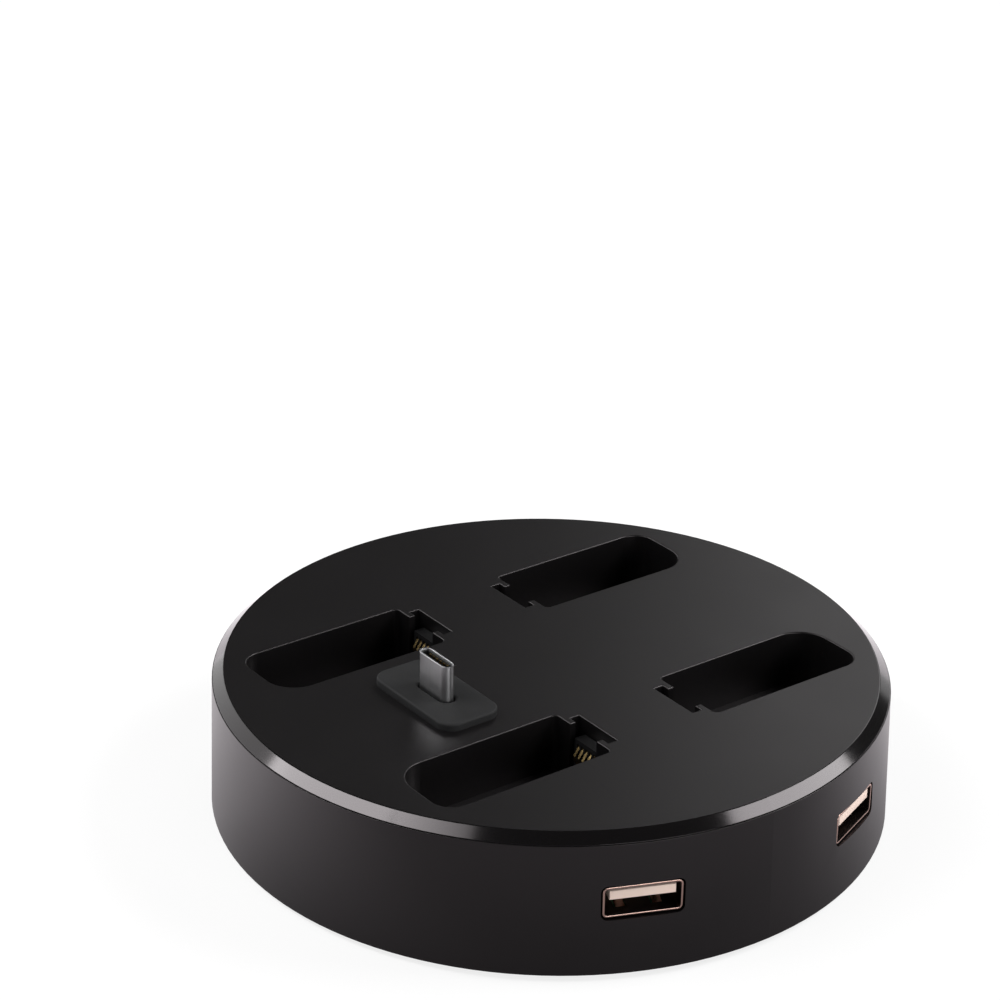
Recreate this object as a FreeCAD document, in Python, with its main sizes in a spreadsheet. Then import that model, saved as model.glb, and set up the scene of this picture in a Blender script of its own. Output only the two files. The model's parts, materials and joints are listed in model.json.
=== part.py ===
import FreeCAD, Part
import os
from math import pi

import Sketcher
from FreeCAD import Placement, Rotation, Vector

# Round charging dock with four wells, an upright plug and two side ports.
# Millimetres, +Z up, origin on the floor under the middle of the round body.
# The plug stands on the -Y side, the side ports are on the +X side and the inlet is on the +Y side.

# Driving sizes, each written once
SIZES = {
    # Round body
    "body_radius": 60.15,
    "body_height": 25.7,
    "wall_draft": 0.65,
    "wall_thickness": 2.2,
    "top_thickness": 2.2,
    "chamfer_width": 2.0,
    "chamfer_drop": 1.7,
    "edge_round": 0.3,
    # Joint between the top cover and the side wall, and the ledge that the base plate presses on
    "seam_round": 0.1,
    "spigot_height": 2.0,
    "spigot_thickness": 1.6,
    "spigot_gap": 0.1,
    "ledge_height": 1.6,
    "ledge_width": 2.1,
    # Wells: land is the half width between left and right wells, and setback is from rim to tip
    "well_land": 16.2,
    "well_setback": 15.05,
    "well_width": 15.2,
    "well_length": 33.8,
    "well_depth": 10.4,
    "well_wall": 1.6,
    "well_inner_round": 5.7,
    "well_outer_round": 3.9,
    "well_end_round": 1.0,
    "mouth_round": 0.25,
    # Rail channel at the inner end of each well
    "rail_flange_depth": 1.9,
    "rail_flange_width": 10.4,
    "rail_neck_depth": 1.2,
    "rail_neck_width": 7.2,
    # Contact block and its leaf contacts
    "block_width": 6.4,
    "block_depth": 2.2,
    "block_rise": 7.6,
    "block_cap": 0.8,
    "block_foot": 1.1,
    "block_gap": 0.2,
    "leaf_count": 5,
    "leaf_pitch": 1.1,
    "leaf_width": 0.5,
    "leaf_thickness": 0.2,
    "leaf_bulge": 1.1,
    "leaf_bulge_start": 2.25,
    "leaf_crest_start": 3.95,
    "leaf_crest_end": 4.75,
    "leaf_bulge_end": 6.35,
    "leaf_rise": 6.7,
    "leaf_tail": 1.8,
    "groove_depth": 0.5,
    "groove_play": 0.05,
    # Base plate, feet and screws
    "base_thickness": 2.6,
    "base_recess": 0.4,
    "base_gap": 0.15,
    "foot_radius": 6.0,
    "foot_thickness": 2.4,
    "foot_pocket": 1.0,
    "foot_edge": 3.2,
    "foot_round": 0.5,
    "foot_gap": 0.1,
    "boss_radius": 3.4,
    "boss_setback": 10.3,
    "screw_radius": 1.25,
    "screw_length": 11.0,
    "screw_head_radius": 2.5,
    "screw_head_height": 1.4,
    "screw_sink": 0.2,
    "screw_play": 0.1,
    "cross_length": 2.8,
    "cross_width": 0.7,
    "cross_depth": 0.8,
    # Main board on posts of the base plate
    "board_thickness": 1.6,
    "board_gap": 1.8,
    "board_hole_play": 0.8,
    "post_radius": 3.0,
    "post_setback": 5.5,
    "board_screw_radius": 0.9,
    "board_screw_length": 5.0,
    "post_hole_spare": 0.6,
    "board_head_radius": 1.9,
    "board_head_height": 1.3,
    # Side ports
    "port_angle": 22.6,
    "port_drop": 12.35,
    "port_width": 13.5,
    "port_height": 5.7,
    "port_length": 14.0,
    "port_metal": 0.45,
    "port_round": 0.9,
    "port_lip_round": 0.16,
    "port_sunk": 0.5,
    "port_gap": 0.3,
    "tongue_width": 11.1,
    "tongue_thickness": 1.7,
    "tongue_length": 8.6,
    "tongue_recess": 0.2,
    "tongue_gap": 0.35,
    "insulator_length": 4.2,
    "insulator_play": 0.03,
    "contact_count": 4,
    "contact_pitch": 2.3,
    "contact_width": 1.0,
    "contact_thickness": 0.25,
    "contact_length": 7.4,
    "spring_spread": 6.2,
    "spring_width": 1.6,
    "spring_length": 3.0,
    "spring_rise": 0.45,
    "spring_setback": 2.2,
    # Upright plug, its carrier, riser board and pad
    "plug_offset": 24.7,
    "plug_width": 8.25,
    "plug_thickness": 2.4,
    "plug_metal": 0.25,
    "plug_lip_round": 0.08,
    "plug_reach": 6.5,
    "plug_mouth_width": 6.8,
    "plug_mouth_thickness": 1.0,
    "plug_mouth_depth": 4.8,
    "plug_core_recess": 0.3,
    "plug_play": 0.05,
    "plug_contact_count": 6,
    "plug_contact_pitch": 1.0,
    "plug_contact_width": 0.4,
    "plug_contact_thickness": 0.12,
    "carrier_width": 24.0,
    "carrier_depth": 8.0,
    "carrier_thickness": 1.6,
    "carrier_round": 2.5,
    "carrier_neck_width": 12.0,
    "carrier_neck_depth": 5.6,
    "carrier_neck_round": 1.5,
    "carrier_gap": 0.15,
    "carrier_boss_length": 3.0,
    "carrier_boss_radius": 2.2,
    "carrier_screw_spread": 18.0,
    "carrier_screw_length": 2.4,
    "riser_width": 12.0,
    "riser_thickness": 1.0,
    "pad_width": 23.0,
    "pad_depth": 12.0,
    "pad_height": 1.4,
    "pad_round": 3.0,
    "pad_slot_play": 0.4,
    "pad_edge_round": 0.4,
    # Power inlet
    "inlet_width": 8.94,
    "inlet_height": 3.26,
    "inlet_metal": 0.3,
    "inlet_length": 7.4,
    "inlet_sunk": 0.3,
    "inlet_gap": 0.25,
    "inlet_back": 1.8,
    "inlet_tongue_width": 6.69,
    "inlet_tongue_thickness": 0.7,
    "inlet_tongue_recess": 0.9,
    # Parts soldered on the main board
    "chip_side": 7.0,
    "chip_height": 1.0,
    "coil_side": 7.0,
    "coil_height": 3.2,
    "coil_round": 1.2,
    "coil_offset": 13.0,
    "can_radius": 3.15,
    "can_height": 5.8,
    "can_base_side": 6.6,
    "can_base_height": 1.0,
    "can_offset": 26.0,
    "can_spread": 13.0,
}

doc = FreeCAD.newDocument("charging_dock")
sheet = doc.addObject("Spreadsheet::Sheet", "dims")
for row, (name, value) in enumerate(SIZES.items(), start=1):
    sheet.set(f"A{row}", str(value))
    sheet.setAlias(f"A{row}", name)
doc.recompute()

# Levels from the floor up, as expressions over the sheet
BASE_BOTTOM = "(dims.foot_thickness - dims.foot_pocket)"
BASE_TOP = f"({BASE_BOTTOM} + dims.base_thickness)"
WALL_BOTTOM = f"({BASE_BOTTOM} - dims.base_recess)"
TOP_FACE = f"({WALL_BOTTOM} + dims.body_height)"
TOP_UNDERSIDE = f"({TOP_FACE} - dims.top_thickness)"
WELL_FLOOR = f"({TOP_FACE} - dims.well_depth)"
WELL_BOTTOM = f"({WELL_FLOOR} - dims.well_wall)"
PORT_AXIS = f"({TOP_FACE} - dims.port_drop)"
BOARD_TOP = f"({PORT_AXIS} - dims.port_height / 2)"
BOARD_BOTTOM = f"({BOARD_TOP} - dims.board_thickness)"
CARRIER_TOP = f"({TOP_UNDERSIDE} - dims.carrier_boss_length)"
CARRIER_BOTTOM = f"({CARRIER_TOP} - dims.carrier_thickness)"
PAD_TOP = f"({TOP_FACE} + dims.pad_height)"
PLUG_TIP = f"({PAD_TOP} + dims.plug_reach)"
INLET_AXIS = f"({BOARD_TOP} + dims.inlet_height / 2)"

# Radii and distances from the middle
SHOULDER_RADIUS = "(dims.body_radius - dims.wall_draft)"
SHOULDER_LEVEL = f"({TOP_FACE} - dims.chamfer_drop)"
INNER_RADIUS = f"({SHOULDER_RADIUS} - dims.wall_thickness)"
SPIGOT_RADIUS = f"({INNER_RADIUS} - dims.spigot_gap)"
SPIGOT_INSIDE = f"({SPIGOT_RADIUS} - dims.spigot_thickness)"
SPIGOT_BOTTOM = f"({SHOULDER_LEVEL} - dims.spigot_height)"
LEDGE_RADIUS = f"({INNER_RADIUS} - dims.ledge_width)"
LEDGE_TOP = f"({BASE_TOP} + dims.ledge_height)"
BASE_RADIUS = f"({INNER_RADIUS} - dims.base_gap)"
BOARD_RADIUS = f"({INNER_RADIUS} - dims.board_gap)"
BOSS_CIRCLE = f"({INNER_RADIUS} - dims.boss_setback)"
POST_CIRCLE = f"({BOARD_RADIUS} - dims.post_setback)"
FOOT_CIRCLE = f"({BASE_RADIUS} - dims.foot_edge - dims.foot_radius)"
WALL_SLOPE = "(dims.wall_draft / (dims.body_height - dims.chamfer_drop))"
PORT_MOUTH = f"(dims.body_radius - {WALL_SLOPE} * (dims.body_height - dims.port_drop) - dims.port_sunk)"
INLET_MOUTH = f"(dims.body_radius - {WALL_SLOPE} * ({INLET_AXIS} - {WALL_BOTTOM}) - dims.inlet_sunk)"
WELL_OUTER = "(dims.well_land + dims.well_width)"
WELL_MIDDLE = "(dims.well_land + dims.well_width / 2)"
WELL_TIP = "(dims.body_radius - dims.well_setback)"
WELL_START = f"({WELL_TIP} - dims.well_length)"
NECK_START = f"({WELL_START} - dims.rail_neck_depth)"
RAIL_LAND = f"({NECK_START} - dims.rail_flange_depth)"
BLOCK_BACK = f"({RAIL_LAND} + dims.block_gap)"
BLOCK_FRONT = f"({BLOCK_BACK} + dims.block_depth)"
BLOCK_TOP = f"({WELL_FLOOR} + dims.block_rise)"
GROOVE_FLOOR = f"({BLOCK_FRONT} - dims.groove_depth)"

DIAGONAL = "sqrt(0.5)"
RIM_SCREWS = 4
CARRIER_SCREWS = 2
QUADRANTS = {
    "front_right": (1, -1),
    "front_left": (-1, -1),
    "rear_right": (1, 1),
    "rear_left": (-1, 1),
}
CUT_MARGIN = "dims.wall_thickness"
# Greatest difference between a measured length and the one it stands for
TOLERANCE = 1e-4

parts = []


def size(expression):
    """The number that an expression over the sheet gives."""
    return float(sheet.evalExpression(expression))


def signed(sign, expression):
    """An expression, turned negative where the sign is."""
    return expression if sign > 0 else f"-({expression})"


def bind(target, prop, expression):
    target.setExpression(prop, expression)
    return target


def new_body(label):
    """An empty body that becomes the sub-part with this label."""
    body = doc.addObject("PartDesign::Body", label)
    body.Label = label
    parts.append(body)
    return body


def origin_feature(body, role):
    return next(item for item in body.Origin.OriginFeatures if item.Role == role)


def add_sketch(body, name, role="XY_Plane", offset="0"):
    """A sketch on one of the body's own planes, moved along the plane's normal."""
    sketch = body.newObject("Sketcher::SketchObject", f"{body.Name}_{name}")
    sketch.AttachmentSupport = [(origin_feature(body, role), "")]
    sketch.MapMode = "FlatFace"
    return bind(sketch, "AttachmentOffset.Base.z", offset)


ORIGIN = (-1, 1)


def dimension(kind, references, expression):
    """A sized constraint and the expression over the sheet that sets it."""
    return Sketcher.Constraint(kind, *references, size(expression)), expression


def relation(kind, *references):
    """A constraint with no size, such as a join between two lines."""
    return Sketcher.Constraint(kind, *references), None


def pin(geometry, point, x=None, y=None):
    """The dimensions that tie a point of a sketch to x and y, given as expressions."""
    rules = []
    if x is not None:
        rules.append(dimension("DistanceX", (*ORIGIN, geometry, point), x))
    if y is not None:
        rules.append(dimension("DistanceY", (*ORIGIN, geometry, point), y))
    return rules


def constrain(sketch, rules):
    """Adds constraints to a sketch and ties the sized ones to their expressions."""
    indices = sketch.addConstraint([constraint for constraint, _ in rules])
    for index, (_, expression) in zip(indices, rules):
        if expression is not None:
            sketch.setExpression(f"Constraints[{index}]", expression)


def draw_polygon(sketch, corners):
    """A closed outline of straight sides through corners, each an x and y expression."""
    points = [Vector(size(x), size(y), 0) for x, y in corners]
    lines = [sketch.addGeometry(Part.LineSegment(points[i - 1], points[i])) for i in range(len(points))]
    rules = []
    for i, (x, y) in enumerate(corners):
        following = lines[(i + 1) % len(lines)]
        rules.append(relation("Coincident", lines[i], 2, following, 1))
        rules += pin(lines[i], 2, x, y)
    constrain(sketch, rules)


def draw_outline(sketch, corners):
    """A closed outline with sides along the axes. A corner is x, y and a radius or None."""
    count = len(corners)
    points = [Vector(size(x), size(y), 0) for x, y, _ in corners]
    radii = [size(radius) if radius else 0.0 for _, _, radius in corners]
    ways = [(points[(i + 1) % count] - points[i]).normalize() for i in range(count)]
    lines = []
    rules = []
    for i in range(count):
        after = (i + 1) % count
        start = points[i] + ways[i] * radii[i]
        end = points[after] - ways[i] * radii[after]
        line = sketch.addGeometry(Part.LineSegment(start, end))
        if abs(ways[i].y) < abs(ways[i].x):
            rules.append(relation("Horizontal", line))
            rules += pin(line, 1, y=corners[i][1])
        else:
            rules.append(relation("Vertical", line))
            rules += pin(line, 1, x=corners[i][0])
        lines.append(line)
    for i in range(count):
        before = lines[i - 1]
        if not radii[i]:
            rules.append(relation("Coincident", before, 2, lines[i], 1))
            continue
        from_point = points[i] - ways[i - 1] * radii[i]
        to_point = points[i] + ways[i] * radii[i]
        circle = Part.Circle(from_point + ways[i] * radii[i], Vector(0, 0, 1), radii[i])
        left_turn = ways[i - 1].cross(ways[i]).z > 0
        ends = (from_point, to_point) if left_turn else (to_point, from_point)
        joins = (1, 2) if left_turn else (2, 1)
        arc = sketch.addGeometry(Part.ArcOfCircle(circle, *[circle.parameter(end) for end in ends]))
        rules.append(relation("Tangent", before, 2, arc, joins[0]))
        rules.append(relation("Tangent", arc, joins[1], lines[i], 1))
        rules.append(dimension("Radius", (arc,), corners[i][2]))
    constrain(sketch, rules)


def draw_rectangle(sketch, x, y, width, depth, radius=None):
    """A rectangle about the point x, y, with rounded corners where a radius is given."""
    left, right = f"{x} - {width} / 2", f"{x} + {width} / 2"
    low, high = f"{y} - {depth} / 2", f"{y} + {depth} / 2"
    corners = [(left, low), (right, low), (right, high), (left, high)]
    draw_outline(sketch, [(*corner, radius) for corner in corners])


def draw_circle(sketch, x, y, radius):
    centre = Vector(size(x), size(y), 0)
    circle = sketch.addGeometry(Part.Circle(centre, Vector(0, 0, 1), size(radius)))
    constrain(sketch, pin(circle, 3, x, y) + [dimension("Radius", (circle,), radius)])


def draw_oval(sketch, x, y, width, height):
    """A slot shape about the point x, y: two straight sides and two round ends."""
    radius = f"({height}) / 2"
    reach = f"(({width}) - ({height})) / 2"
    middle = Vector(size(x), size(y), 0)
    up = Vector(0, size(radius), 0)
    across = Vector(size(reach), 0, 0)
    low = sketch.addGeometry(Part.LineSegment(middle - across - up, middle + across - up))
    high = sketch.addGeometry(Part.LineSegment(middle + across + up, middle - across + up))
    right_circle = Part.Circle(middle + across, Vector(0, 0, 1), size(radius))
    left_circle = Part.Circle(middle - across, Vector(0, 0, 1), size(radius))
    right = sketch.addGeometry(Part.ArcOfCircle(right_circle, -pi / 2, pi / 2))
    left = sketch.addGeometry(Part.ArcOfCircle(left_circle, pi / 2, 3 * pi / 2))
    rules = [relation("Horizontal", low), relation("Horizontal", high)]
    for first, second in ((low, right), (right, high), (high, left), (left, low)):
        rules.append(relation("Tangent", first, 2, second, 1))
    rules.append(dimension("Radius", (right,), radius))
    rules += pin(right, 3, f"{x} + {reach}", y)
    rules += pin(left, 3, x=f"{x} - {reach}")
    constrain(sketch, rules)


def pad(body, sketch, length, reverse=False, middle=False):
    feature = body.newObject("PartDesign::Pad", f"{sketch.Name}_pad")
    feature.Profile = sketch
    feature.Reversed = reverse
    feature.Midplane = middle
    return bind(feature, "Length", length)


def pocket(body, sketch, length, reverse=False):
    """A cut against the sketch's normal, or along it if reversed. It has to remove material."""
    doc.recompute()
    before = body.Shape.Volume
    feature = body.newObject("PartDesign::Pocket", f"{sketch.Name}_pocket")
    feature.Profile = sketch
    feature.Reversed = reverse
    bind(feature, "Length", length)
    doc.recompute()
    if body.Shape.Volume >= before:
        raise RuntimeError(f"{feature.Name} cuts nothing")
    return feature


def revolve(body, sketch, axis):
    feature = body.newObject("PartDesign::Revolution", f"{sketch.Name}_turn")
    feature.Profile = sketch
    feature.ReferenceAxis = (sketch, [axis])
    feature.Angle = 360
    return feature


def round_edges(body, chosen, radius):
    """Rounds the edges of the body's last feature that the chosen test accepts."""
    doc.recompute()
    base = body.Tip
    names = [f"Edge{i}" for i, edge in enumerate(base.Shape.Edges, start=1) if chosen(edge)]
    if not names:
        raise RuntimeError(f"{body.Name} has no edge to round")
    fillet = body.newObject("PartDesign::Fillet", f"{base.Name}_round")
    fillet.Base = (base, names)
    return bind(fillet, "Radius", radius)


def repeat_round(body, count, label):
    """Repeats the whole body about the vertical axis."""
    doc.recompute()
    pattern = body.newObject("PartDesign::PolarPattern", label)
    pattern.TransformMode = "Whole shape"
    pattern.Axis = (origin_feature(body, "Z_Axis"), [""])
    pattern.Angle = 360
    pattern.Occurrences = count
    body.Tip = pattern


def near(value, expression):
    """Whether a measured value is the one that an expression gives."""
    return abs(value - size(expression)) < TOLERANCE


def level_edge(edge, level):
    """Whether an edge lies flat at a level."""
    box = edge.BoundBox
    return near(box.ZMin, level) and near(box.ZMax, level)


def four_axis_points(distance):
    """The four points at a distance from the middle, along X and Y."""
    return [(distance, "0"), ("0", distance), (f"-{distance}", "0"), ("0", f"-{distance}")]


def four_diagonal_points(distance):
    reach = f"{distance} * {DIAGONAL}"
    return [(signed(x, reach), signed(y, reach)) for x, y in QUADRANTS.values()]


def draw_wells(sketch, grow):
    """The four well outlines; grow is the wall around them, or None for the wells themselves."""
    for side_x, side_y in QUADRANTS.values():
        if grow:
            corners = [
                (f"dims.well_land - {grow}", f"{WELL_TIP} + {grow}", f"dims.well_inner_round + {grow}"),
                (f"{WELL_OUTER} + {grow}", f"{WELL_TIP} + {grow}", f"dims.well_outer_round + {grow}"),
                (f"{WELL_OUTER} + {grow}", f"{RAIL_LAND} - {grow}", "dims.well_end_round"),
                (f"dims.well_land - {grow}", f"{RAIL_LAND} - {grow}", "dims.well_end_round"),
            ]
        else:
            neck_left = f"{WELL_MIDDLE} - dims.rail_neck_width / 2"
            neck_right = f"{WELL_MIDDLE} + dims.rail_neck_width / 2"
            rail_left = f"{WELL_MIDDLE} - dims.rail_flange_width / 2"
            rail_right = f"{WELL_MIDDLE} + dims.rail_flange_width / 2"
            corners = [
                ("dims.well_land", WELL_TIP, "dims.well_inner_round"),
                (WELL_OUTER, WELL_TIP, "dims.well_outer_round"),
                (WELL_OUTER, WELL_START, "dims.well_end_round"),
                (neck_right, WELL_START, None),
                (neck_right, NECK_START, None),
                (rail_right, NECK_START, None),
                (rail_right, RAIL_LAND, None),
                (rail_left, RAIL_LAND, None),
                (rail_left, NECK_START, None),
                (neck_left, NECK_START, None),
                (neck_left, WELL_START, None),
                ("dims.well_land", WELL_START, "dims.well_end_round"),
            ]
        draw_outline(sketch, [(signed(side_x, x), signed(side_y, y), r) for x, y, r in corners])


def rim_edge(radius, level):
    """A test for the round edge of this radius about the middle, at this level."""
    def chosen(edge):
        if not isinstance(edge.Curve, Part.Circle):
            return False
        return near(edge.Curve.Radius, radius) and level_edge(edge, level)
    return chosen


def make_side_wall():
    """Slightly drafted ring with the windows of the sockets, and a ledge above the base plate."""
    body = new_body("side_wall")

    profile = add_sketch(body, "profile", "XZ_Plane")
    draw_polygon(profile, [
        ("dims.body_radius", WALL_BOTTOM),
        (SHOULDER_RADIUS, SHOULDER_LEVEL),
        (INNER_RADIUS, SHOULDER_LEVEL),
        (INNER_RADIUS, LEDGE_TOP),
        (LEDGE_RADIUS, LEDGE_TOP),
        (LEDGE_RADIUS, BASE_TOP),
        (INNER_RADIUS, BASE_TOP),
        (INNER_RADIUS, WALL_BOTTOM),
    ])
    revolve(body, profile, "V_Axis")
    round_edges(body, rim_edge("dims.body_radius", WALL_BOTTOM), "dims.edge_round")
    round_edges(body, rim_edge(SHOULDER_RADIUS, SHOULDER_LEVEL), "dims.seam_round")

    window_outside = f"({PORT_MOUTH} + {CUT_MARGIN})"
    for name, side in (("port_window_rear", 1), ("port_window_front", -1)):
        angle = signed(side, "dims.port_angle")
        window = add_sketch(body, name, "YZ_Plane", f"{window_outside} * cos({angle} * 1deg)")
        window.AttachmentOffset = Placement(Vector(), Rotation(Vector(0, 1, 0), size(angle)))
        bind(window, "AttachmentOffset.Rotation.Angle", angle)
        bind(window, "AttachmentOffset.Base.x", f"{window_outside} * sin({angle} * 1deg)")
        draw_rectangle(window, "0", PORT_AXIS, "(dims.port_width + 2 * dims.port_gap)",
                       "(dims.port_height + 2 * dims.port_gap)", "dims.port_round + dims.port_gap")
        pocket(body, window, f"{window_outside} - {INNER_RADIUS} + {CUT_MARGIN}")

    inlet_start = f"({INNER_RADIUS} - {CUT_MARGIN})"
    inlet_window = add_sketch(body, "inlet_window", "XZ_Plane", f"-{inlet_start}")
    draw_oval(inlet_window, "0", INLET_AXIS, "dims.inlet_width + 2 * dims.inlet_gap",
              "dims.inlet_height + 2 * dims.inlet_gap")
    pocket(body, inlet_window, f"dims.body_radius + {CUT_MARGIN} - {inlet_start}")


def make_top_cover():
    """Flat top with its bevel, wells and bosses; a spigot centres it in the side wall."""
    body = new_body("top_cover")

    bevel_radius = f"({SHOULDER_RADIUS} - dims.chamfer_width)"
    profile = add_sketch(body, "profile", "XZ_Plane")
    draw_polygon(profile, [
        (SHOULDER_RADIUS, SHOULDER_LEVEL),
        (bevel_radius, TOP_FACE),
        ("0", TOP_FACE),
        ("0", TOP_UNDERSIDE),
        (SPIGOT_INSIDE, TOP_UNDERSIDE),
        (SPIGOT_INSIDE, SPIGOT_BOTTOM),
        (SPIGOT_RADIUS, SPIGOT_BOTTOM),
        (SPIGOT_RADIUS, SHOULDER_LEVEL),
    ])
    revolve(body, profile, "V_Axis")
    round_edges(body, rim_edge(bevel_radius, TOP_FACE), "dims.edge_round")
    round_edges(body, rim_edge(SHOULDER_RADIUS, SHOULDER_LEVEL), "dims.seam_round")

    well_blocks = add_sketch(body, "well_blocks", offset=WELL_BOTTOM)
    draw_wells(well_blocks, "dims.well_wall")
    pad(body, well_blocks, f"{TOP_FACE} - dims.top_thickness / 2 - {WELL_BOTTOM}")

    bosses = add_sketch(body, "bosses", offset=BASE_TOP)
    for x, y in four_axis_points(BOSS_CIRCLE):
        draw_circle(bosses, x, y, "dims.boss_radius")
    pad(body, bosses, f"{TOP_FACE} - dims.top_thickness / 2 - {BASE_TOP}")

    carrier_bosses = add_sketch(body, "carrier_bosses", offset=CARRIER_TOP)
    carrier_holes = add_sketch(body, "carrier_holes", offset=CARRIER_TOP)
    for side in (1, -1):
        x = signed(side, "dims.carrier_screw_spread / 2")
        draw_circle(carrier_bosses, x, "-dims.plug_offset", "dims.carrier_boss_radius")
        draw_circle(carrier_holes, x, "-dims.plug_offset", "dims.board_screw_radius + dims.screw_play")
    pad(body, carrier_bosses, "dims.carrier_boss_length + dims.top_thickness / 2")
    pocket(body, carrier_holes, "dims.carrier_screw_length + dims.screw_play", reverse=True)

    wells = add_sketch(body, "wells", offset=TOP_FACE)
    draw_wells(wells, None)
    pocket(body, wells, "dims.well_depth")

    block_windows = add_sketch(body, "block_windows", offset=WELL_FLOOR)
    for side_x, side_y in QUADRANTS.values():
        x = signed(side_x, WELL_MIDDLE)
        y = signed(side_y, f"({BLOCK_BACK} + {BLOCK_FRONT}) / 2")
        draw_rectangle(block_windows, x, y, "(dims.block_width + 2 * dims.block_gap)",
                       "(dims.block_depth + 2 * dims.block_gap)")
    pocket(body, block_windows, "dims.well_wall")

    screw_holes = add_sketch(body, "screw_holes", offset=BASE_TOP)
    for x, y in four_axis_points(BOSS_CIRCLE):
        draw_circle(screw_holes, x, y, "dims.screw_radius + dims.screw_play")
    pocket(body, screw_holes, "dims.screw_length", reverse=True)

    plug_window = add_sketch(body, "plug_window", offset=TOP_FACE)
    draw_rectangle(plug_window, "0", "-dims.plug_offset", "(dims.carrier_neck_width + 2 * dims.carrier_gap)",
                   "(dims.carrier_neck_depth + 2 * dims.carrier_gap)",
                   "dims.carrier_neck_round + dims.carrier_gap")
    pocket(body, plug_window, "dims.top_thickness")

    def well_mouth(edge):
        in_well = abs(edge.CenterOfMass.x) > size("dims.well_land") - TOLERANCE
        return in_well and level_edge(edge, TOP_FACE)
    round_edges(body, well_mouth, "dims.mouth_round")


def make_base_plate():
    """Round plate that closes the body from below, with foot pockets and board posts."""
    body = new_body("base_plate")

    disc = add_sketch(body, "disc", offset=BASE_BOTTOM)
    draw_circle(disc, "0", "0", BASE_RADIUS)
    pad(body, disc, "dims.base_thickness")

    posts = add_sketch(body, "posts", offset=BASE_TOP)
    for x, y in four_diagonal_points(POST_CIRCLE):
        draw_circle(posts, x, y, "dims.post_radius")
    pad(body, posts, f"{BOARD_BOTTOM} - {BASE_TOP}")

    foot_pockets = add_sketch(body, "foot_pockets", offset=BASE_BOTTOM)
    for x, y in four_diagonal_points(FOOT_CIRCLE):
        draw_circle(foot_pockets, x, y, "dims.foot_radius + dims.foot_gap")
    pocket(body, foot_pockets, "dims.foot_pocket", reverse=True)

    screw_holes = add_sketch(body, "screw_holes", offset=BASE_BOTTOM)
    screw_recesses = add_sketch(body, "screw_recesses", offset=BASE_BOTTOM)
    for x, y in four_axis_points(BOSS_CIRCLE):
        draw_circle(screw_holes, x, y, "dims.screw_radius + dims.screw_play")
        draw_circle(screw_recesses, x, y, "dims.screw_head_radius + dims.screw_play")
    pocket(body, screw_holes, "dims.base_thickness", reverse=True)
    pocket(body, screw_recesses, "dims.screw_head_height + dims.screw_sink", reverse=True)

    post_holes = add_sketch(body, "post_holes", offset=BOARD_BOTTOM)
    for x, y in four_diagonal_points(POST_CIRCLE):
        draw_circle(post_holes, x, y, "dims.board_screw_radius + dims.screw_play")
    pocket(body, post_holes, "dims.board_screw_length - dims.board_thickness + dims.post_hole_spare")


def make_feet():
    """Rubber discs in the pockets of the base plate."""
    for label, (side_x, side_y) in QUADRANTS.items():
        body = new_body(f"foot_{label}")
        profile = add_sketch(body, "profile", "XZ_Plane")
        draw_polygon(profile, [
            ("0", "0"),
            ("dims.foot_radius", "0"),
            ("dims.foot_radius", "dims.foot_thickness"),
            ("0", "dims.foot_thickness"),
        ])
        revolve(body, profile, "V_Axis")
        round_edges(body, lambda edge: level_edge(edge, "0"), "dims.foot_round")
        bind(body, "Placement.Base.x", signed(side_x, f"{FOOT_CIRCLE} * {DIAGONAL}"))
        bind(body, "Placement.Base.y", signed(side_y, f"{FOOT_CIRCLE} * {DIAGONAL}"))


def make_screws(label, place, head_level, head_height, head_radius, shank_radius, shank_length, up):
    """One screw with a cross recess; place is its x and y, and up says that it points upwards."""
    body = new_body(label)
    x, y = place
    head_end = f"{head_level} {'-' if up else '+'} {head_height}"
    tip = f"{head_level} {'+' if up else '-'} ({shank_length})"

    head = add_sketch(body, "head", offset=head_level)
    draw_circle(head, x, y, head_radius)
    pad(body, head, head_height, reverse=up)

    shank = add_sketch(body, "shank", offset=head_level)
    draw_circle(shank, x, y, shank_radius)
    pad(body, shank, shank_length, reverse=not up)

    round_edges(body, lambda edge: level_edge(edge, tip), f"({shank_radius}) / 2")

    cross = add_sketch(body, "cross", offset=head_end)
    long, thin = "dims.cross_length / 2", "dims.cross_width / 2"
    steps = [(thin, long), (thin, thin), (long, thin)]
    arms = steps + [(a, f"-{b}") for a, b in reversed(steps)]
    arms += [(f"-{a}", f"-{b}") for a, b in steps]
    arms += [(f"-{a}", b) for a, b in reversed(steps)]
    draw_polygon(cross, [(f"{x} + {a}", f"{y} + {b}") for a, b in arms])
    pocket(body, cross, "dims.cross_depth", reverse=up)
    return body


def make_fasteners():
    """Base screws from below, board screws from above and carrier screws from below."""
    base_screws = make_screws(
        "base_screws", (BOSS_CIRCLE, "0"),
        f"({BASE_BOTTOM} + dims.screw_sink + dims.screw_head_height)",
        "dims.screw_head_height", "dims.screw_head_radius", "dims.screw_radius", "dims.screw_length", True)
    repeat_round(base_screws, RIM_SCREWS, "base_screw_circle")

    corner = f"{POST_CIRCLE} * {DIAGONAL}"
    board_screws = make_screws(
        "board_screws", (corner, corner), BOARD_TOP,
        "dims.board_head_height", "dims.board_head_radius", "dims.board_screw_radius",
        "dims.board_screw_length", False)
    repeat_round(board_screws, RIM_SCREWS, "board_screw_circle")

    carrier_screws = make_screws(
        "carrier_screws", ("dims.carrier_screw_spread / 2", "0"), CARRIER_BOTTOM,
        "dims.board_head_height", "dims.board_head_radius", "dims.board_screw_radius",
        "dims.carrier_thickness + dims.carrier_screw_length", True)
    repeat_round(carrier_screws, CARRIER_SCREWS, "carrier_screw_pair")
    bind(carrier_screws, "Placement.Base.y", "-dims.plug_offset")


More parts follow.
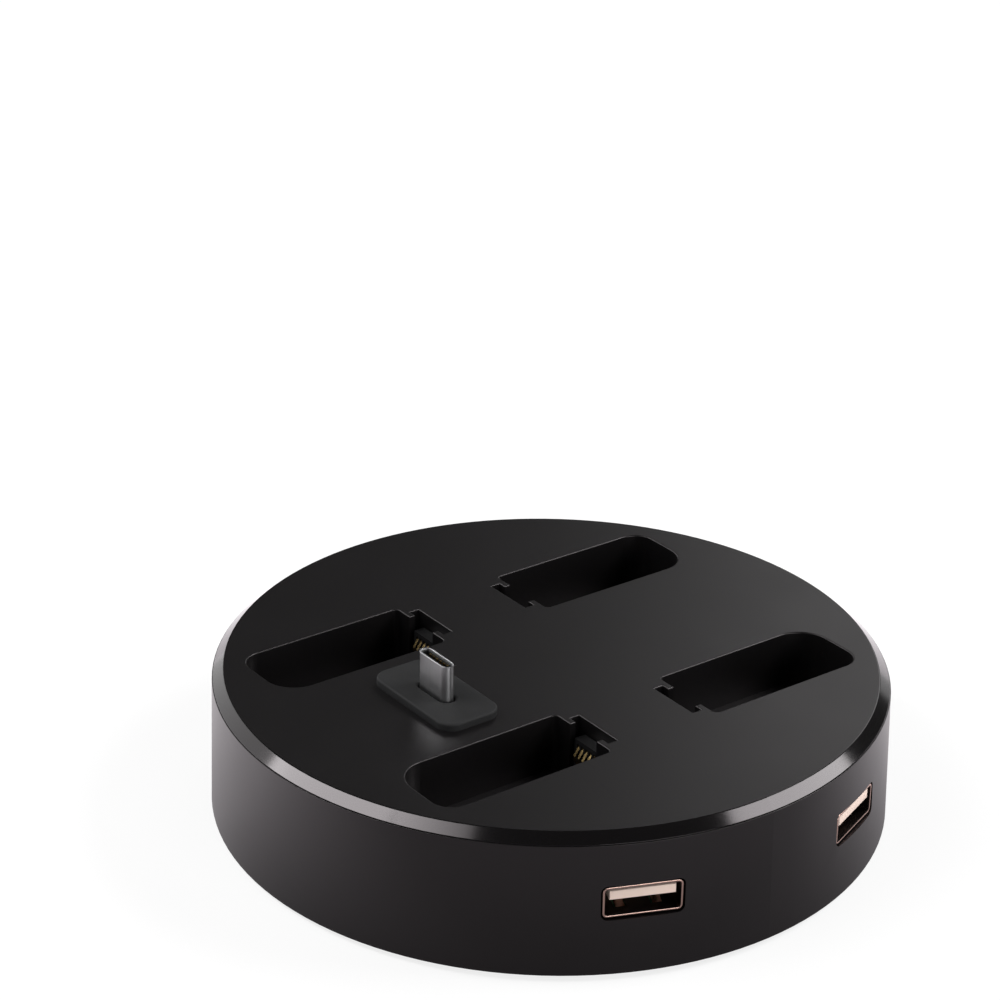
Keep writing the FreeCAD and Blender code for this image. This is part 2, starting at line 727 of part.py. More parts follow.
def make_main_board():
    """Round board with clearance holes for the cover's bosses and holes for its own screws."""
    body = new_body("main_board")
    disc = add_sketch(body, "disc", offset=BOARD_BOTTOM)
    draw_circle(disc, "0", "0", BOARD_RADIUS)
    for x, y in four_axis_points(BOSS_CIRCLE):
        draw_circle(disc, x, y, "dims.boss_radius + dims.board_hole_play")
    for x, y in four_diagonal_points(POST_CIRCLE):
        draw_circle(disc, x, y, "dims.board_screw_radius + dims.screw_play")
    pad(body, disc, "dims.board_thickness")


def place_in_quadrant(body, side_x, side_y):
    """Moves a piece that was made about x = 0, facing +Y, to the rail end of one well."""
    body.Placement = Placement(Vector(), Rotation(Vector(0, 0, 1), 0 if side_y > 0 else 180))
    bind(body, "Placement.Base.x", signed(side_x, WELL_MIDDLE))


def leaf_places():
    count = int(size("dims.leaf_count"))
    return [f"dims.leaf_pitch * {i - (count - 1) / 2}" for i in range(count)]


def make_contact_blocks():
    """Plastic blocks that stand on the board and rise through the well floors."""
    for label, sides in QUADRANTS.items():
        body = new_body(f"contact_block_{label}")
        middle = f"({BLOCK_BACK} + {BLOCK_FRONT}) / 2"

        post = add_sketch(body, "post", offset=BOARD_TOP)
        draw_rectangle(post, "0", middle, "dims.block_width", "dims.block_depth")
        pad(body, post, f"{BLOCK_TOP} - {BOARD_TOP}")

        foot = add_sketch(body, "foot", offset=BOARD_TOP)
        half = "(dims.block_width / 2 + dims.block_foot)"
        back = f"{BLOCK_BACK} - dims.block_foot"
        draw_outline(foot, [(f"-{half}", back, None), (half, back, None),
                            (half, BLOCK_FRONT, None), (f"-{half}", BLOCK_FRONT, None)])
        pad(body, foot, f"({WELL_BOTTOM} - {BOARD_TOP}) / 2")

        grooves = add_sketch(body, "grooves", offset=f"{BLOCK_TOP} - dims.block_cap")
        for x in leaf_places():
            draw_rectangle(grooves, x, f"({GROOVE_FLOOR} + {BLOCK_FRONT}) / 2",
                           "(dims.leaf_width + 2 * dims.groove_play)", "dims.groove_depth")
        pocket(body, grooves, f"{BLOCK_TOP} - dims.block_cap - {BOARD_TOP}")
        place_in_quadrant(body, *sides)


def make_contact_leaves():
    """Sprung strips in the grooves of each block, soldered to the board by their tails."""
    back = GROOVE_FLOOR
    front = f"({GROOVE_FLOOR} + dims.leaf_thickness)"
    tail = f"({BLOCK_FRONT} + dims.leaf_tail)"
    foot_top = f"({BOARD_TOP} + dims.leaf_thickness)"
    leaf_top = f"{WELL_FLOOR} + dims.leaf_rise"
    bends = [
        ("0", f"{WELL_FLOOR} + dims.leaf_bulge_start"),
        ("dims.leaf_bulge", f"{WELL_FLOOR} + dims.leaf_crest_start"),
        ("dims.leaf_bulge", f"{WELL_FLOOR} + dims.leaf_crest_end"),
        ("0", f"{WELL_FLOOR} + dims.leaf_bulge_end"),
    ]
    profile = [(back, BOARD_TOP), (tail, BOARD_TOP), (tail, foot_top), (front, foot_top)]
    profile += [(f"{front} + {out}", level) for out, level in bends]
    profile += [(front, leaf_top), (back, leaf_top)]
    profile += [(f"{back} + {out}", level) for out, level in reversed(bends)]
    for label, sides in QUADRANTS.items():
        body = new_body(f"contact_leaves_{label}")
        for i, x in enumerate(leaf_places()):
            strip = add_sketch(body, f"strip_{i}", "YZ_Plane", x)
            draw_polygon(strip, profile)
            pad(body, strip, "dims.leaf_width", middle=True)
        place_in_quadrant(body, *sides)


def place_at_port(body, side):
    """Turns a piece that was made facing +X to one of the side ports."""
    body.Placement = Placement(Vector(), Rotation(Vector(0, 0, 1), 1))
    bind(body, "Placement.Rotation.Angle", signed(side, "dims.port_angle"))
    bind(body, "Placement.Base.z", PORT_AXIS)


def make_side_ports():
    """Receptacles in the wall: a metal shell, a pale insulator with its tongue, and contacts."""
    inside_width = "(dims.port_width - 2 * dims.port_metal)"
    inside_height = "(dims.port_height - 2 * dims.port_metal)"
    inside_round = "(dims.port_round - dims.port_metal)"
    tongue_high = f"({inside_height} / 2 - dims.tongue_gap)"
    tongue_low = f"({tongue_high} - dims.tongue_thickness)"
    tongue_tip = f"({PORT_MOUTH} - dims.tongue_recess)"
    tongue_root = f"({tongue_tip} - dims.tongue_length)"
    for label, side in (("rear", 1), ("front", -1)):
        shell = new_body(f"port_shell_{label}")
        ring = add_sketch(shell, "ring", "YZ_Plane", PORT_MOUTH)
        draw_rectangle(ring, "0", "0", "dims.port_width", "dims.port_height", "dims.port_round")
        draw_rectangle(ring, "0", "0", inside_width, inside_height, inside_round)
        pad(shell, ring, "dims.port_length", reverse=True)
        springs = add_sketch(shell, "springs", "XY_Plane", f"-{inside_height} / 2 - dims.port_metal / 2")
        spring_x = f"({PORT_MOUTH} - dims.spring_setback - dims.spring_length / 2)"
        for way in (1, -1):
            draw_rectangle(springs, spring_x, signed(way, "dims.spring_spread / 2"),
                           "dims.spring_length", "dims.spring_width")
        pad(shell, springs, "dims.spring_rise + dims.port_metal / 2")

        def mouth_edge(edge):
            box = edge.BoundBox
            return near(box.XMin, PORT_MOUTH) and near(box.XMax, PORT_MOUTH)
        round_edges(shell, mouth_edge, "dims.port_lip_round")
        place_at_port(shell, side)

        insulator = new_body(f"port_tongue_{label}")
        tongue = add_sketch(insulator, "tongue", "YZ_Plane", tongue_tip)
        draw_rectangle(tongue, "0", f"({tongue_high} + {tongue_low}) / 2", "dims.tongue_width",
                       "dims.tongue_thickness")
        pad(insulator, tongue, "dims.tongue_length", reverse=True)
        block = add_sketch(insulator, "block", "YZ_Plane", tongue_root)
        draw_rectangle(block, "0", "0", f"({inside_width} - 2 * dims.insulator_play)",
                       f"({inside_height} - 2 * dims.insulator_play)", inside_round)
        pad(insulator, block, "dims.insulator_length", reverse=True)
        place_at_port(insulator, side)

        contacts = new_body(f"port_contacts_{label}")
        strips = add_sketch(contacts, "strips", "YZ_Plane", tongue_root)
        count = int(size("dims.contact_count"))
        for i in range(count):
            draw_rectangle(strips, f"dims.contact_pitch * {i - (count - 1) / 2}",
                           f"{tongue_low} - dims.contact_thickness / 2",
                           "dims.contact_width", "dims.contact_thickness")
        pad(contacts, strips, "dims.contact_length")
        place_at_port(contacts, side)


def make_console_plug():
    """Upright plug in the top: steel shell, plastic core, contacts and moulded carrier."""
    inside_width = "(dims.plug_width - 2 * dims.plug_metal)"
    inside_thickness = "(dims.plug_thickness - 2 * dims.plug_metal)"
    core_top = f"({PLUG_TIP} - dims.plug_core_recess)"

    shell = new_body("plug_shell")
    ring = add_sketch(shell, "ring", offset=CARRIER_BOTTOM)
    draw_oval(ring, "0", "0", "dims.plug_width", "dims.plug_thickness")
    draw_oval(ring, "0", "0", inside_width, inside_thickness)
    pad(shell, ring, f"{PLUG_TIP} - {CARRIER_BOTTOM}")
    round_edges(shell, lambda edge: level_edge(edge, PLUG_TIP), "dims.plug_lip_round")
    bind(shell, "Placement.Base.y", "-dims.plug_offset")

    core = new_body("plug_core")
    oval = add_sketch(core, "oval", offset=CARRIER_BOTTOM)
    draw_oval(oval, "0", "0", f"{inside_width} - 2 * dims.insulator_play",
              f"{inside_thickness} - 2 * dims.insulator_play")
    pad(core, oval, f"{core_top} - {CARRIER_BOTTOM}")
    mouth = add_sketch(core, "mouth", offset=core_top)
    draw_rectangle(mouth, "0", "0", "dims.plug_mouth_width", "dims.plug_mouth_thickness")
    pocket(core, mouth, "dims.plug_mouth_depth")
    bind(core, "Placement.Base.y", "-dims.plug_offset")

    contacts = new_body("plug_contacts")
    strips = add_sketch(contacts, "strips", offset=f"{core_top} - dims.plug_mouth_depth")
    count = int(size("dims.plug_contact_count"))
    for row in (1, -1):
        y = signed(row, "(dims.plug_mouth_thickness - dims.plug_contact_thickness) / 2")
        for i in range(count):
            draw_rectangle(strips, f"dims.plug_contact_pitch * {i - (count - 1) / 2}", y,
                           "dims.plug_contact_width", "dims.plug_contact_thickness")
    pad(contacts, strips, "dims.plug_mouth_depth - dims.plug_core_recess")
    bind(contacts, "Placement.Base.y", "-dims.plug_offset")

    carrier = new_body("plug_carrier")
    flange = add_sketch(carrier, "flange", offset=CARRIER_BOTTOM)
    draw_rectangle(flange, "0", "0", "dims.carrier_width", "dims.carrier_depth", "dims.carrier_round")
    for side in (1, -1):
        draw_circle(flange, signed(side, "dims.carrier_screw_spread / 2"), "0",
                    "dims.board_screw_radius + dims.screw_play")
    pad(carrier, flange, "dims.carrier_thickness")
    neck = add_sketch(carrier, "neck", offset=CARRIER_TOP)
    draw_rectangle(neck, "0", "0", "dims.carrier_neck_width", "dims.carrier_neck_depth",
                   "dims.carrier_neck_round")
    pad(carrier, neck, f"{TOP_FACE} - {CARRIER_TOP}")
    hole = add_sketch(carrier, "hole", offset=TOP_FACE)
    draw_oval(hole, "0", "0", "dims.plug_width + 2 * dims.plug_play",
              "dims.plug_thickness + 2 * dims.plug_play")
    pocket(carrier, hole, f"{TOP_FACE} - {CARRIER_BOTTOM}")
    bind(carrier, "Placement.Base.y", "-dims.plug_offset")


def make_riser_board():
    """Small upright board from the main board to the back of the plug."""
    riser = doc.addObject("Part::Box", "riser_board")
    riser.Label = "riser_board"
    bind(riser, "Length", "dims.riser_width")
    bind(riser, "Width", "dims.riser_thickness")
    bind(riser, "Height", f"{CARRIER_BOTTOM} - {BOARD_TOP}")
    bind(riser, "Placement.Base.x", "-dims.riser_width / 2")
    bind(riser, "Placement.Base.y", "-dims.plug_offset - dims.riser_thickness / 2")
    bind(riser, "Placement.Base.z", BOARD_TOP)
    parts.append(riser)


def make_console_pad():
    """Soft pad on the top, around the foot of the plug."""
    body = new_body("console_pad")
    outline = add_sketch(body, "outline", offset=TOP_FACE)
    draw_rectangle(outline, "0", "0", "dims.pad_width", "dims.pad_depth", "dims.pad_round")
    draw_oval(outline, "0", "0", "dims.plug_width + 2 * dims.pad_slot_play",
              "dims.plug_thickness + 2 * dims.pad_slot_play")
    pad(body, outline, "dims.pad_height")
    round_edges(body, lambda edge: level_edge(edge, PAD_TOP), "dims.pad_edge_round")
    bind(body, "Placement.Base.y", "-dims.plug_offset")


def make_power_inlet():
    """Receptacle in the back of the wall that takes the supply: steel shell and tongue."""
    inside_width = "(dims.inlet_width - 2 * dims.inlet_metal)"
    inside_height = "(dims.inlet_height - 2 * dims.inlet_metal)"
    back_face = f"({INLET_MOUTH} - dims.inlet_length)"

    shell = new_body("inlet_shell")
    ring = add_sketch(shell, "ring", "XZ_Plane", f"-{INLET_MOUTH}")
    draw_oval(ring, "0", INLET_AXIS, "dims.inlet_width", "dims.inlet_height")
    draw_oval(ring, "0", INLET_AXIS, inside_width, inside_height)
    pad(shell, ring, "dims.inlet_length")

    insulator = new_body("inlet_tongue")
    block = add_sketch(insulator, "block", "XZ_Plane", f"-{back_face}")
    draw_oval(block, "0", INLET_AXIS, f"{inside_width} - 2 * dims.insulator_play",
              f"{inside_height} - 2 * dims.insulator_play")
    pad(insulator, block, "dims.inlet_back", reverse=True)
    tongue = add_sketch(insulator, "tongue", "XZ_Plane", f"-{back_face}")
    draw_rectangle(tongue, "0", INLET_AXIS, "dims.inlet_tongue_width", "dims.inlet_tongue_thickness")
    pad(insulator, tongue, "dims.inlet_length - dims.inlet_tongue_recess", reverse=True)


def make_board_parts():
    """Charge controller, inductor and filter capacitors, soldered to the main board."""
    chip = doc.addObject("Part::Box", "charge_controller")
    chip.Label = "charge_controller"
    bind(chip, "Length", "dims.chip_side")
    bind(chip, "Width", "dims.chip_side")
    bind(chip, "Height", "dims.chip_height")
    bind(chip, "Placement.Base.x", "-dims.chip_side / 2")
    bind(chip, "Placement.Base.y", "-dims.chip_side / 2")
    bind(chip, "Placement.Base.z", BOARD_TOP)
    parts.append(chip)

    coil = new_body("power_inductor")
    square = add_sketch(coil, "square", offset=BOARD_TOP)
    draw_rectangle(square, "0", "dims.coil_offset", "dims.coil_side", "dims.coil_side", "dims.coil_round")
    pad(coil, square, "dims.coil_height")

    cans = new_body("filter_capacitors")
    bases = add_sketch(cans, "bases", offset=BOARD_TOP)
    rounds = add_sketch(cans, "rounds", offset=f"{BOARD_TOP} + dims.can_base_height")
    for side in (1, -1):
        x = signed(side, "dims.can_spread / 2")
        draw_rectangle(bases, x, "dims.can_offset", "dims.can_base_side", "dims.can_base_side")
        draw_circle(rounds, x, "dims.can_offset", "dims.can_radius")
    pad(cans, bases, "dims.can_base_height")
    pad(cans, rounds, "dims.can_height - dims.can_base_height")


make_side_wall()
make_top_cover()
make_base_plate()
make_feet()
make_main_board()
make_contact_blocks()
make_contact_leaves()
make_side_ports()
make_console_plug()
make_riser_board()
make_console_pad()
make_power_inlet()
make_board_parts()
make_fasteners()
doc.recompute()

for item in doc.Objects:
    if "Invalid" in item.State or "Error" in item.State:
        raise RuntimeError(f"{item.Name} failed: {item.State}")
for part in parts:
    if part.Shape.isNull() or not part.Shape.isValid() or not part.Shape.Solids:
        raise RuntimeError(f"{part.Label} has no valid solid")

os.makedirs("parts", exist_ok=True)
for part in parts:
    part.Shape.exportStep(f"parts/{part.Label}.step")
    print(part.Label, len(part.Shape.Solids), "solids", round(part.Shape.Volume, 2), "mm3")
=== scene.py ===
import json
from math import atan2, cos, hypot, pi, radians, sin

import bmesh
import bpy
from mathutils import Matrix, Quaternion, Vector


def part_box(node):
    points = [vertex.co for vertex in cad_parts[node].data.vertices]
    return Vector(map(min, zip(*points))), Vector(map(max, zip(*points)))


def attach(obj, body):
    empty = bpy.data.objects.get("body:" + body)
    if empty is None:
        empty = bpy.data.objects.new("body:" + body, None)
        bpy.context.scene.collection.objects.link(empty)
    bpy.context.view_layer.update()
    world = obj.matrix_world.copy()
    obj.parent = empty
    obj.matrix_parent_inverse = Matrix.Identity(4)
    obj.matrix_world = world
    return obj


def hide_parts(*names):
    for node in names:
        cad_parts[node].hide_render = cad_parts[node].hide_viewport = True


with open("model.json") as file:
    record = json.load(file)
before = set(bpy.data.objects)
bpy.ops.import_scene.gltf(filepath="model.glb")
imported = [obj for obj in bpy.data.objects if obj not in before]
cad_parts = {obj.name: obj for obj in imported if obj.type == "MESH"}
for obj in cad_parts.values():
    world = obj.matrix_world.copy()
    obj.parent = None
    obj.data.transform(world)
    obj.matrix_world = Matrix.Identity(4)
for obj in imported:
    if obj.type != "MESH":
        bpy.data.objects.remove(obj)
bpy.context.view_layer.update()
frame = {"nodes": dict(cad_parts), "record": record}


# Rubber feet: four dark discs with a rounded edge and a ring groove in the sole.
# They are pressed from soft rubber, and each one is glued into a round pocket under the base plate.
MM = 0.001
FOOT_NODES = ("foot_front_right", "foot_front_left", "foot_rear_right", "foot_rear_left")
FOOT_SIDES = 72
SOLE_ROUND = 0.5 * MM
SOLE_BORDER = 1.3 * MM
GROOVE_WIDTH = 0.9 * MM
GROOVE_DEPTH = 0.4 * MM
GROOVE_ROUND = 0.12 * MM
# A face looks along an axis where this share of its normal does
STRAIGHT = 0.99
# Folds from SHARP up get a round, and shading is smooth across folds up to SMOOTH
SHARP = radians(45)
SMOOTH = radians(30)


def pick_faces(chosen):
    """Selects, in edit mode, the faces whose middle and normal are as chosen says."""
    bpy.ops.mesh.select_mode(type="FACE")
    bpy.ops.mesh.select_all(action="DESELECT")
    mesh = bpy.context.object.data
    shape = bmesh.from_edit_mesh(mesh)
    for face in shape.faces:
        if chosen(face.calc_center_median(), face.normal):
            face.select_set(True)
    bmesh.update_edit_mesh(mesh)


def pick_edges(chosen):
    """Selects, in edit mode, the edges whose two ends and fold are as chosen says."""
    bpy.ops.mesh.select_mode(type="EDGE")
    bpy.ops.mesh.select_all(action="DESELECT")
    mesh = bpy.context.object.data
    shape = bmesh.from_edit_mesh(mesh)
    for edge in shape.edges:
        if chosen(edge.verts[0].co, edge.verts[1].co, edge.calc_face_angle(0)):
            edge.select_set(True)
    bmesh.update_edit_mesh(mesh)


def settle():
    """Puts the place and turn of what is selected into its mesh, with its object at the origin."""
    bpy.ops.object.transform_apply(location=True, rotation=True, scale=True)


def middle_of(node):
    """The middle of a CAD node's box."""
    low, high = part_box(node)
    return (low + high) / 2


foot_low, foot_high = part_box(FOOT_NODES[0])
foot_radius = (foot_high.x - foot_low.x) / 2
foot_height = foot_high.z - foot_low.z
sole = -foot_height / 2

bpy.ops.object.select_all(action="DESELECT")
bpy.ops.mesh.primitive_cylinder_add(vertices=FOOT_SIDES, radius=foot_radius, depth=foot_height,
                                    location=middle_of(FOOT_NODES[0]))
foot = bpy.context.object
bpy.ops.object.mode_set(mode="EDIT")
pick_edges(lambda a, b, fold: max(a.z, b.z) < 0 and fold > SHARP)
bpy.ops.mesh.bevel(offset=SOLE_ROUND, segments=5)
pick_faces(lambda middle, normal: normal.z < -STRAIGHT)
bpy.ops.mesh.inset(thickness=SOLE_BORDER)
bpy.ops.mesh.inset(thickness=GROOVE_WIDTH)
groove_outside = foot_radius - SOLE_ROUND - SOLE_BORDER
groove_inside = groove_outside - GROOVE_WIDTH
pick_faces(lambda middle, normal: normal.z < -STRAIGHT
           and groove_inside < hypot(middle.x, middle.y) < groove_outside)
bpy.ops.mesh.extrude_region_move(TRANSFORM_OT_translate={"value": (0, 0, GROOVE_DEPTH)})
pick_edges(lambda a, b, fold: max(a.z, b.z) < sole + GROOVE_DEPTH / 2 and fold > SHARP)
bpy.ops.mesh.bevel(offset=GROOVE_ROUND, segments=2)
bpy.ops.object.mode_set(mode="OBJECT")
bpy.ops.object.shade_smooth_by_angle(angle=SMOOTH)
settle()


def wire(node, inputs):
    """Sets a shader node's inputs, by name or number, to values or to the outputs of other nodes."""
    for socket, value in inputs.items():
        if isinstance(value, bpy.types.NodeSocket):
            node.id_data.links.new(value, node.inputs[socket])
        else:
            node.inputs[socket].default_value = value


def add_node(tree, kind, inputs, operation=None):
    """A new shader node with its inputs set; operation is what a maths node does."""
    node = tree.nodes.new(kind)
    if operation:
        node.operation = operation
    wire(node, inputs)
    return node


def new_finish(name):
    """A new material, with its node tree, its shader and the place that its patterns follow."""
    material = bpy.data.materials.new(name)
    material.use_nodes = True
    tree = material.node_tree
    place = tree.nodes.new("ShaderNodeTexCoord").outputs["Object"]
    return material, tree, tree.nodes["Principled BSDF"], place


def speckle(tree, place, scale, detail=2):
    """A soft random pattern from 0 to 1, with about scale patches to the metre."""
    inputs = {"Vector": place, "Scale": scale, "Detail": detail}
    return add_node(tree, "ShaderNodeTexNoise", inputs).outputs["Fac"]


def ranged(tree, value, first, last, start=0, end=1):
    """A number that runs from first to last as the value runs from start to end."""
    inputs = {"Value": value, "From Min": start, "From Max": end, "To Min": first, "To Max": last}
    return add_node(tree, "ShaderNodeMapRange", inputs).outputs["Result"]


def two_tones(tree, pattern, *tones):
    """A colour that follows a pattern between two tones, each given as its share and its colour."""
    ramp = add_node(tree, "ShaderNodeValToRGB", {"Fac": pattern})
    for element, (share, colour) in zip(ramp.color_ramp.elements, tones):
        element.position = share
        element.color = (*colour, 1)
    return ramp.outputs["Color"]


def raised(tree, pattern, strength, relief):
    """The slope of a surface that stands up to relief high where the pattern is 1."""
    inputs = {"Height": pattern, "Strength": strength, "Distance": relief}
    return add_node(tree, "ShaderNodeBump", inputs).outputs["Normal"]


def pressed_rubber(name, colour, grain):
    """Matt rubber: a fine pressed grain, and a paler bloom in soft patches."""
    material, tree, shader, place = new_finish(name)
    bloom = speckle(tree, place, scale=220, detail=4)
    pale = [1.5 * tone for tone in colour]
    wire(shader, {
        "IOR": 1.42,
        "Base Color": two_tones(tree, bloom, (0.35, colour), (0.75, pale)),
        "Roughness": ranged(tree, bloom, first=0.62, last=0.82),
        "Normal": raised(tree, speckle(tree, place, scale=1 / grain), strength=0.6, relief=0.02 * MM),
    })
    return material


def stand_for(piece, node):
    """Puts a finished piece in the place of a CAD node, with the material slot that it has."""
    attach(piece, "root")
    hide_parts(node)


foot_rubber = pressed_rubber("foot_rubber", (0.016, 0.016, 0.017), grain=0.35 * MM)
foot.data.materials.append(foot_rubber)
feet = [foot]
for node, neighbour in zip(FOOT_NODES[1:], FOOT_NODES):
    bpy.ops.object.duplicate()
    bpy.ops.transform.translate(value=middle_of(node) - middle_of(neighbour))
    settle()
    feet.append(bpy.context.object)
for node, foot in zip(FOOT_NODES, feet):
    foot.name = f"rubber_{node}"
    stand_for(foot, node)


# Base plate: a round black lid under the dock, with pockets for the feet and recesses for the screws.
# Injection moulded with a spark-eroded texture, and held against the ledge in the wall by the base screws.
GRAIN_STRENGTH = 0.5
nodes = frame["nodes"]


def moulded_plastic(name, colour, roughness, grain, relief, gleam=(1, 1, 1)):
    """Plastic with a moulded grain: grain is its size, relief its height, gleam the tint of its shine."""
    material, tree, shader, place = new_finish(name)
    cloud = speckle(tree, place, scale=60)
    wire(shader, {
        "Base Color": (*colour, 1),
        "Specular Tint": (*gleam, 1),
        "IOR": 1.46,
        "Roughness": ranged(tree, cloud, first=roughness - 0.03, last=roughness + 0.03),
        "Normal": raised(tree, speckle(tree, place, scale=1 / grain, detail=3), GRAIN_STRENGTH, relief),
    })
    return material


def dress(node, material):
    """Gives a CAD node its finished material."""
    slots = nodes[node].data.materials
    slots.clear()
    slots.append(material)


base_black = moulded_plastic("base_black", (0.008, 0.008, 0.0085),
                             roughness=0.55, grain=0.3 * MM, relief=0.03 * MM)
dress("base_plate", base_black)


# Main board: a round green board on four posts of the base plate, and a small upright board to the plug.
# Glass fibre under a green mask, held by four pan-head screws.
# The wave pattern repeats after this length at scale 1
WAVE_LENGTH = pi / 10


def masked_board(name, mask, weave_pitch):
    """Green mask over glass cloth, whose crossed threads show through as a faint weave."""
    material, tree, shader, place = new_finish(name)
    threads = []
    for way in ("X", "Y"):
        inputs = {"Vector": place, "Scale": WAVE_LENGTH / weave_pitch, "Distortion": 0.6}
        thread = add_node(tree, "ShaderNodeTexWave", inputs)
        thread.bands_direction = way
        threads.append(thread.outputs["Fac"])
    weave = add_node(tree, "ShaderNodeMath", {0: threads[0], 1: threads[1]}, "MULTIPLY").outputs["Value"]
    pale = [1.4 * tone for tone in mask]
    wire(shader, {
        "Base Color": two_tones(tree, weave, (0, mask), (1, pale)),
        "Roughness": 0.3,
        "Normal": raised(tree, weave, strength=0.3, relief=0.01 * MM),
    })
    return material


board_green = masked_board("board_green", mask=(0.008, 0.07, 0.026), weave_pitch=0.6 * MM)
for node in ("main_board", "riser_board"):
    dress(node, board_green)


# Board parts: a moulded chip, a ferrite coil and two aluminium cans, soldered to the main board.
# Chip and coil are pressed from powder, and the cans are drawn from sheet.
def bright_metal(name, colour, roughness, streaks):
    """Bare or plated metal, with faint streaks; streaks is how fine they are along X, Y and Z."""
    material, tree, shader, place = new_finish(name)
    stretched = add_node(tree, "ShaderNodeMapping", {"Vector": place, "Scale": streaks}).outputs["Vector"]
    streak = speckle(tree, stretched, scale=1)
    dull = [0.92 * tone for tone in colour]
    wire(shader, {
        "Metallic": 1,
        "Base Color": two_tones(tree, streak, (0.3, dull), (0.7, colour)),
        "Roughness": ranged(tree, streak, first=0.96 * roughness, last=1.04 * roughness),
        "Normal": raised(tree, streak, strength=0.1, relief=0.0002 * MM),
    })
    return material


chip_black = moulded_plastic("chip_black", (0.012, 0.012, 0.012),
                             roughness=0.5, grain=0.15 * MM, relief=0.01 * MM)
coil_grey = moulded_plastic("coil_grey", (0.1, 0.1, 0.1),
                            roughness=0.65, grain=0.2 * MM, relief=0.03 * MM)
can_aluminium = bright_metal("can_aluminium", (0.78, 0.78, 0.79), roughness=0.28, streaks=(300, 300, 6000))
dress("charge_controller", chip_black)
dress("power_inductor", coil_grey)
dress("filter_capacitors", can_aluminium)


# Screws: zinc-plated steel with cross recesses, rolled and headed from wire.
# Four hold the base plate to the cover's bosses, four the main board and two the plug carrier.
screw_steel = bright_metal("screw_steel", (0.46, 0.46, 0.47), roughness=0.3, streaks=(2500, 2500, 900))
for node in ("base_screws", "board_screws", "carrier_screws"):
    dress(node, screw_steel)


# Side wall: a slightly drafted ring, injection moulded in black plastic with a fine satin texture.
# It stands between the base plate and the top cover, which the base screws pull together.
BODY_BLACK = (0.004, 0.0036, 0.0038)
WARM_GLEAM = (1, 0.93, 0.955)
wall_black = moulded_plastic("wall_black", BODY_BLACK,
                             roughness=0.32, grain=0.4 * MM, relief=0.01 * MM, gleam=WARM_GLEAM)
dress("side_wall", wall_black)


# Port shells: two boxes of warm nickel-plated steel, folded from sheet, with a rounded lip at the mouth.
# Two spring fingers are cut from the floor of each and bent up, and both are soldered to the main board.
PORT_LENGTH = 14 * MM
PORT_WIDTH = 13.5 * MM
PORT_HEIGHT = 5.7 * MM
PORT_METAL = 0.45 * MM
PORT_ROUND = 0.9 * MM
LIP_ROUND = 0.16 * MM
SPRING_SPREAD = 6.2 * MM
SPRING_WIDTH = 1.6 * MM
SPRING_START = 2.2 * MM
SPRING_LENGTH = 3 * MM
SPRING_RISE = 0.45 * MM
SPRING_METAL = 0.2 * MM
SPRING_ROOT = 0.3 * MM
SPRING_SUNK = 0.05 * MM
# How far each bend of a spring goes, as shares of its length and of its rise
SPRING_BENDS = ((0.4, 0.55), (0.23, 0.5), (0.12, 0.06), (0.12, -0.25), (0.07, -0.55))
SLOT_GAP = 0.25 * MM
# Beyond this share of a block's length from its middle lies its end
NEAR_END = 0.49
mounts = {mount["name"]: mount for mount in frame["record"]["mounts"]}
rear_mouth = Vector(mounts["port_rear"]["pos_m"])
port_angle = atan2(rear_mouth.y, rear_mouth.x)
port_mouth = hypot(rear_mouth.x, rear_mouth.y)
port_axis = rear_mouth.z
port_nickel = bright_metal("port_nickel", (0.6, 0.41, 0.35), roughness=0.24, streaks=(400, 2500, 2500))
# The near-black metal below is painted shade for the inner walls of each shell, so the cavity reads dark.
port_painted_shade = bright_metal("port_painted_shade", (0.025, 0.02, 0.019), roughness=0.4, streaks=(400, 2500, 2500))


def start_block(name, middle, size):
    """A new box of that size, the only thing selected."""
    bpy.ops.object.select_all(action="DESELECT")
    bpy.ops.mesh.primitive_cube_add(size=1, location=middle)
    piece = bpy.context.object
    piece.name = name
    piece.scale = size
    bpy.ops.object.transform_apply(location=False, rotation=False, scale=True)
    return piece


def select_only(*pieces):
    """Selects these pieces and nothing else, and works on the first of them."""
    bpy.ops.object.select_all(action="DESELECT")
    for piece in pieces:
        piece.select_set(True)
    bpy.context.view_layer.objects.active = pieces[0]


def cut_out(piece, cutter):
    """Cuts the cutter's shape out of the piece, and leaves the piece the only thing selected."""
    cut = piece.modifiers.new("cut", "BOOLEAN")
    cut.object = cutter
    cut.solver = "EXACT"
    select_only(piece)
    bpy.ops.object.modifier_apply(modifier="cut")
    bpy.data.objects.remove(cutter)


def fit_both_ports(piece, name):
    """Turns the piece, made facing +X, to the rear port and a copy of it to the front port."""
    bpy.ops.object.duplicate()
    pair = {"rear": piece, "front": bpy.context.object}
    piece.rotation_euler.z = port_angle
    pair["front"].rotation_euler.z = -port_angle
    piece.select_set(True)
    settle()
    for end, fitted in pair.items():
        fitted.name = f"{name}_{end}"
    return pair


shell = start_block("shell", (port_mouth - PORT_LENGTH / 2, 0, port_axis),
                    (PORT_LENGTH, PORT_WIDTH, PORT_HEIGHT))
shell.data.materials.append(port_nickel)
shell.data.materials.append(port_painted_shade)
bpy.ops.object.mode_set(mode="EDIT")
pick_edges(lambda a, b, fold: abs(a.x - b.x) > PORT_LENGTH / 2)
bpy.ops.mesh.bevel(offset=PORT_ROUND, segments=6)
pick_faces(lambda middle, normal: abs(normal.x) > STRAIGHT)
bpy.ops.mesh.inset(thickness=PORT_METAL)
bpy.ops.mesh.bridge_edge_loops()
# The bridged inner walls take the near-black metal: painted shade inside the mouth.
shell.active_material_index = 1
bpy.ops.object.material_slot_assign()
pick_edges(lambda a, b, fold: min(a.x, b.x) > NEAR_END * PORT_LENGTH and fold > SHARP)
bpy.ops.mesh.bevel(offset=LIP_ROUND, segments=3)
bpy.ops.object.mode_set(mode="OBJECT")
settle()

